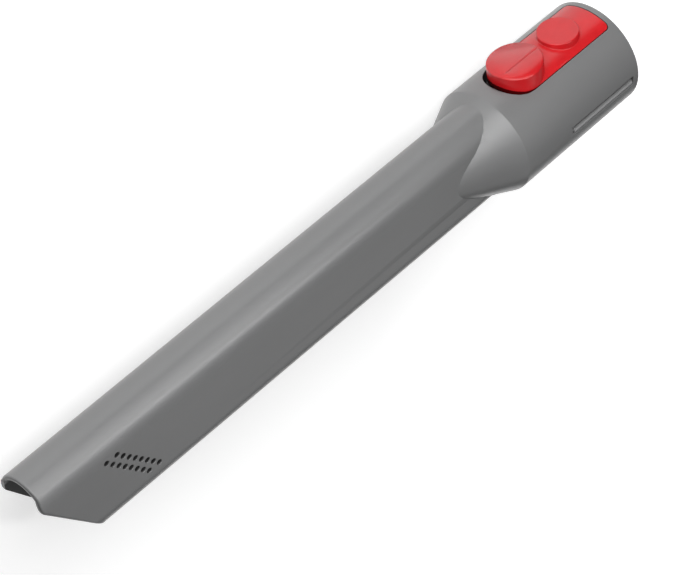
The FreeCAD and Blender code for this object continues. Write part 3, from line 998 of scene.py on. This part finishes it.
@dataclass
class ToolBody:
    """The grey moulding: collar, shoulder and nozzle.

    Fields with edge in their names say which edges are rounded, and how much.
    """

    collar_radius: float = 23.5
    collar_length: float = 68.0
    collar_slack: float = 0.05
    rim_chamfer: float = 0.7
    shoulder_slope: float = 0.453
    shoulder_end: float = 98.0
    nozzle_half_width: float = 10.85
    nozzle_top: float = 21.9
    nozzle_bottom: float = 23.3
    nozzle_rise: float = 0.47
    nozzle_wall: float = 1.9
    nozzle_run: Span = (66.5, 320.0)
    bores: tuple[float, ...] = (19.3, 19.0, 16.2)
    bore_run: Span = (0.0, 80.0)
    bead_angle: float = 94.0
    bead_radius: float = 1.15
    bead_reach: float = 22.65
    bead_run: Span = (5.0, 40.6)
    channel_radius: float = 3.6
    channel_reach: float = 25.9
    tip: float = 306.4
    slant_start: float = 12.7
    slant_angle: float = 36.5
    far_lead: float = 4.4
    nose_back: float = 1.6
    nose_start: float = 10.0
    nose_blend: float = 6.0
    skew_reach: float = 18.0
    socket_edge_zone: Span = (0.5, 20.5)
    socket_edge_radius: float = 0.18
    rim_edge_zone: Span = (1.3, 22.0)
    rim_edge_radius: float = 0.22
    rim_least_angle: float = 12.0
    window_edge_run: Span = (2.5, 61.0)
    window_edge_half: float = 12.9
    window_edge_radius: float = 0.3
    window_edge_segments: int = 3
    channel_edge_run: Span = (2.0, 45.0)
    channel_edge_side: float = 20.0
    channel_edge_radius: float = 0.22
    front_edge_radius: float = 0.3
    finish: GreyShell = field(default_factory=GreyShell)

    def on_skin(self, spot: Spot, run: Span) -> bool:
        """True on the collar's outside within a run of its length."""
        off = abs(spot.radius - self.collar_radius)
        return off < self.collar_slack and run[0] < spot.along < run[1]

    def on_window(self, spot: Spot) -> bool:
        """True round the catch's window."""
        return (self.on_skin(spot, self.window_edge_run) and spot.up > 0
                and abs(spot.across) < self.window_edge_half)

    def on_channel(self, spot: Spot) -> bool:
        """True along the channels beside the beads."""
        return (self.on_skin(spot, self.channel_edge_run)
                and abs(spot.across) > self.channel_edge_side)

    def roundings(self) -> list[Rounding]:
        """Lists the edges that are rounded.

        Returns:
            The families of edges, from the socket to the shoulder.
        """
        socket_along, socket_radius = self.socket_edge_zone
        rim_along, rim_radius = self.rim_edge_zone
        front = self.collar_length - self.collar_slack, self.collar_length + self.collar_slack
        return [
            Rounding("socket edge", lambda s: s.along < socket_along and s.radius < socket_radius,
                     self.socket_edge_radius),
            Rounding("rim", lambda s: s.along < rim_along and s.radius > rim_radius,
                     self.rim_edge_radius, least_angle=self.rim_least_angle),
            Rounding("window edge", self.on_window, self.window_edge_radius,
                     self.window_edge_segments),
            Rounding("channel edge", self.on_channel, self.channel_edge_radius),
            Rounding("collar front", lambda s: self.on_skin(s, front), self.front_edge_radius),
        ]

    def forms(self) -> list[RoundForm]:
        """Lists the round forms of the moulding.

        Returns:
            The forms, outside first.
        """
        along, radius, length = Axis.ALONG, self.collar_radius, self.collar_length
        chamfer, slope = self.rim_chamfer, self.shoulder_slope
        forms = [
            RoundForm("collar", along, radius, (chamfer, length)),
            RoundForm("rim", along, radius - chamfer, (0.0, chamfer), slope=1.0),
            RoundForm("cone", along, radius, (length, self.shoulder_end), slope=-slope),
        ]
        wide = self.nozzle_half_width
        rise = math.tan(math.radians(self.nozzle_rise))
        top, low = (0.0, self.nozzle_top - wide), (0.0, wide - self.nozzle_bottom)
        for name, half in (("nozzle", wide), ("duct", wide - self.nozzle_wall)):
            forms += [
                RoundForm(name + " top", along, half, self.nozzle_run, top, side=1.0),
                RoundForm(name + " underside", along, half, self.nozzle_run, low, climb=rise,
                          side=-1.0),
            ]
        start, end = self.bead_run
        tip = self.bead_radius
        for side in (1.0, -1.0):
            bead, channel = (self.beside(side, reach)
                             for reach in (self.bead_reach, self.channel_reach))
            forms += [
                RoundForm("bead", along, tip, self.bead_run, bead),
                RoundForm("bead front", along, tip, (end, end + tip), bead, slope=-1.0),
                RoundForm("bead rear", along, 0.0, (start - tip, start), bead, slope=1.0),
                RoundForm("channel", along, self.channel_radius, (start - tip, end + tip), channel),
            ]
        return forms + [RoundForm("bore %g" % bore, along, bore, self.bore_run)
                        for bore in self.bores]

    def beside(self, side: float, reach: float) -> Span:
        """Places the axis of a bead or channel.

        Args:
            side: 1 or -1 for the two flat sides.
            reach: its distance from the collar's axis.

        Returns:
            Its place across and up.
        """
        angle = math.radians(self.bead_angle)
        return side * reach * math.sin(angle), reach * math.cos(angle)

    def mouth_cut(self, up: float) -> float:
        """How far along the tool the nozzle's square-cut mouth lies at a height."""
        slant = math.tan(math.radians(self.slant_angle))
        return self.tip - max(0.0, self.slant_start - up) * slant

    def skew_mouth(self, mesh: bmesh.types.BMesh) -> None:
        """Sets the blunt nose back and lets the mouth's far wall stand forward of the near one.

        Args:
            mesh: the moulding's mesh.
        """
        wide = self.nozzle_half_width
        for vert in mesh.verts:
            spot = Spot.of(vert.co)
            near = (spot.along - self.mouth_cut(spot.up)) / self.skew_reach + 1.0
            if near > 0.0:
                ease = min(1.0, near) ** 2 * (3.0 - 2.0 * min(1.0, near))
                high = min(1.0, max(0.0, (spot.up - self.nose_start) / self.nose_blend))
                far = (wide - spot.across) / (2.0 * wide)
                forward = (1.0 - high) * self.far_lead * far
                back = high * self.nose_back * (1.0 - far * far)
                shift = ease * (forward - back)
                vert.co.x = min(vert.co.x + shift * MM, self.tip * MM)

    def build(self) -> bpy.types.Object:
        """Makes the piece.

        Returns:
            The new object.
        """
        solid = RefinedSolid("body", "grey_shell", self.forms())
        solid.refine()
        self.skew_mouth(solid.mesh)
        for rounding in self.roundings():
            solid.ease(rounding)
        return solid.finish("tool", "grey_shell", self.finish.paint())


@dataclass
class ReleaseCatch:
    """The red lever in the collar's window."""

    plate_radius: float = 23.35
    plate_run: Span = (2.0, 62.0)
    disc_centre: float = 47.3
    disc_radius: float = 11.4
    disc_height: Span = (10.0, 30.0)
    pad_centre: float = 21.5
    pad_radius: float = 8.6
    pad_height: Span = (18.0, 26.0)
    finish: RedCatch = field(default_factory=RedCatch)

    def forms(self) -> list[RoundForm]:
        """Lists the round forms of the lever.

        Returns:
            The forms, outside first.
        """
        disc, pad = (self.disc_centre, 0.0), (self.pad_centre, 0.0)
        return [
            RoundForm("disc wall", Axis.UP, self.disc_radius, self.disc_height, disc),
            RoundForm("pad wall", Axis.UP, self.pad_radius, self.pad_height, pad),
            RoundForm("plate", Axis.ALONG, self.plate_radius, self.plate_run, side=1.0),
        ]

    def build(self) -> bpy.types.Object:
        """Makes the piece.

        Returns:
            The new object.
        """
        solid = RefinedSolid("release_catch", "red_catch", self.forms())
        solid.refine()
        return solid.finish("catch", "red_catch", self.finish.paint())


@dataclass
class CatchSpring:
    """Round-wire coil with closed ends under the thumb disc."""

    centre: float = 47.3
    seat: float = 17.6
    top: float = 23.9
    coil_radius: float = 3.3
    wire_radius: float = 0.4
    turns: float = 4.0
    flat_turns: float = 0.75
    steps: int = 40
    sides: int = 12
    sharp_angle: float = 50.0
    pressed: float = 0.73
    finish: SpringWire = field(default_factory=SpringWire)

    def line(self) -> list[Vector]:
        """Draws the wire's centre line, flat at both ends.

        Returns:
            Its points in the row frame.
        """
        low, high = self.seat + self.wire_radius, self.top - self.wire_radius
        count = int(self.turns * self.steps)
        rising = self.turns - 2 * self.flat_turns
        points = []
        for step in range(count + 1):
            turned = step / count * self.turns
            climb = min(1.0, max(0.0, (turned - self.flat_turns) / rising))
            angle = 2 * math.pi * turned
            points.append(Vector((
                self.centre + self.coil_radius * math.cos(angle),
                -(low + (high - low) * climb),
                self.coil_radius * math.sin(angle),
            )) * MM)
        return points

    def sweep(self) -> bmesh.types.BMesh:
        """Sweeps the wire's round section along its centre line.

        Returns:
            The closed wire.
        """
        line, mesh = self.line(), bmesh.new()
        rings = []
        for index, point in enumerate(line):
            ahead = line[min(index + 1, len(line) - 1)] - line[max(index - 1, 0)]
            outward = Vector((point.x - self.centre * MM, 0.0, point.z)).normalized()
            side = ahead.normalized().cross(outward).normalized()
            ring = []
            for turn in range(self.sides):
                angle = 2 * math.pi * turn / self.sides
                off = outward * math.cos(angle) + side * math.sin(angle)
                ring.append(mesh.verts.new(point + off * self.wire_radius * MM))
            rings.append(ring)
        for first, second in zip(rings, rings[1:]):
            for turn in range(self.sides):
                after = (turn + 1) % self.sides
                mesh.faces.new((first[turn], first[after], second[after], second[turn]))
        mesh.faces.new(rings[0])
        mesh.faces.new(list(reversed(rings[-1])))
        return mesh

    def build(self) -> bpy.types.Object:
        """Makes the piece.

        Returns:
            The new object.
        """
        data = smooth_data(self.sweep(), "return_spring", self.sharp_angle)
        data.materials.append(self.finish.paint())
        piece = add_object("return_spring", data)
        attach(piece, "tool")
        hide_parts("catch_spring")
        self.centre * MM
        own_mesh(piece)
        return piece


@dataclass(frozen=True)
class Softbox:
    """Rectangular studio lamp that faces the tool, level times as bright as a white page."""

    name: str
    place: Point
    aim: Point
    width: float
    height: float
    level: float

    def light(self) -> None:
        """Hangs the lamp."""
        lamp = bpy.data.lights.new(self.name, "AREA")
        lamp.shape = "RECTANGLE"
        lamp.size, lamp.size_y = self.width, self.height
        lamp.energy = self.level * math.pi * self.width * self.height
        hung = add_object(self.name, lamp)
        hung.location = self.place
        toward = Vector(self.aim) - Vector(self.place)
        hung.rotation_euler = toward.to_track_quat("-Z", "Y").to_euler()


MIDDLE: Point = (0.13, 0.0, 0.0)
NOZZLE: Point = (0.22, 0.0, 0.0)


@dataclass
class Studio:
    """Floor, lamps, surrounding light and camera."""

    eye: Point = (0.47704, -0.54574, 0.420231)
    right: Point = (-0.6945, 0.1302, 0.7076)
    upward: Point = (-0.5839, -0.6767, -0.4485)
    lens: float = 106.3
    sensor: float = 36.0
    clip: Span = (0.01, 20.0)
    surround: float = 0.05
    floor_centre: float = 0.15
    floor_half: float = 4.0
    floor_parts: int = 4
    floor: PaleFloor = field(default_factory=PaleFloor)
    lamps: tuple[Softbox, ...] = (
        Softbox("front_key", (0.73, -0.96, 0.40), MIDDLE, 1.1, 1.1, 2.30),
        Softbox("view_key", (0.63, -0.87, 0.66), MIDDLE, 1.1, 1.1, 1.28),
        Softbox("side_fill", (0.13, -0.96, 0.72), MIDDLE, 1.1, 1.1, 1.25),
        Softbox("strip", (0.02, -0.207, 0.60), NOZZLE, 0.35, 0.07, 13.5),
        Softbox("edge_strip", (0.02, -0.433, 0.464), NOZZLE, 0.35, 0.07, 4.2),
        Softbox("back_fill", (-0.20, 0.85, 0.60), MIDDLE, 0.6, 0.6, 0.5),
    )

    def lay_floor(self, height: float) -> None:
        """Lays the table under the tool.

        Args:
            height: the tool's lowest point.
        """
        mesh = bmesh.new()
        bmesh.ops.create_grid(mesh, x_segments=self.floor_parts, y_segments=self.floor_parts,
                              size=self.floor_half)
        data = bpy.data.meshes.new("floor")
        mesh.to_mesh(data)
        mesh.free()
        data.materials.append(self.floor.paint())
        table = add_object("floor", data)
        table.location = (self.floor_centre, 0.0, height)

    def light(self) -> None:
        """Hangs the lamps and sets the surrounding light."""
        for lamp in self.lamps:
            lamp.light()
        world = bpy.data.worlds.new("surround")
        world.use_nodes = True
        backdrop = world.node_tree.nodes["Background"]
        backdrop.inputs["Color"].default_value = opaque(WHITE)
        backdrop.inputs["Strength"].default_value = self.surround
        bpy.context.scene.world = world

    def aim_camera(self) -> None:
        """Puts the camera at the photograph's view."""
        data = bpy.data.cameras.new("camera")
        data.sensor_fit = "HORIZONTAL"
        data.sensor_width = self.sensor
        data.lens = self.lens
        data.clip_start, data.clip_end = self.clip
        across = Vector(self.right).normalized()
        back = across.cross(Vector(self.upward)).normalized()
        turn = Matrix((across, back.cross(across), back)).transposed()
        camera = add_object("camera", data)
        camera.matrix_world = Matrix.Translation(self.eye) @ turn.to_4x4()
        bpy.context.scene.camera = camera

    def build(self, height: float) -> None:
        """Sets the whole stage.

        Args:
            height: the tool's lowest point.
        """
        self.lay_floor(height)
        self.light()
        self.aim_camera()
        bpy.context.scene.view_settings.view_transform = "Standard"


def main() -> None:
    """Builds the pieces in order, then the stage."""
    logging.basicConfig(level=logging.INFO, format="%(name)s: %(message)s")
    for part in (ToolBody(), ReleaseCatch(), CatchSpring()):
        piece = part.build()
        LOG.info("%s: %d faces", piece.name, len(piece.data.polygons))
    Studio().build(CAD_BOX[0].z)


if __name__ == "__main__":
    main()
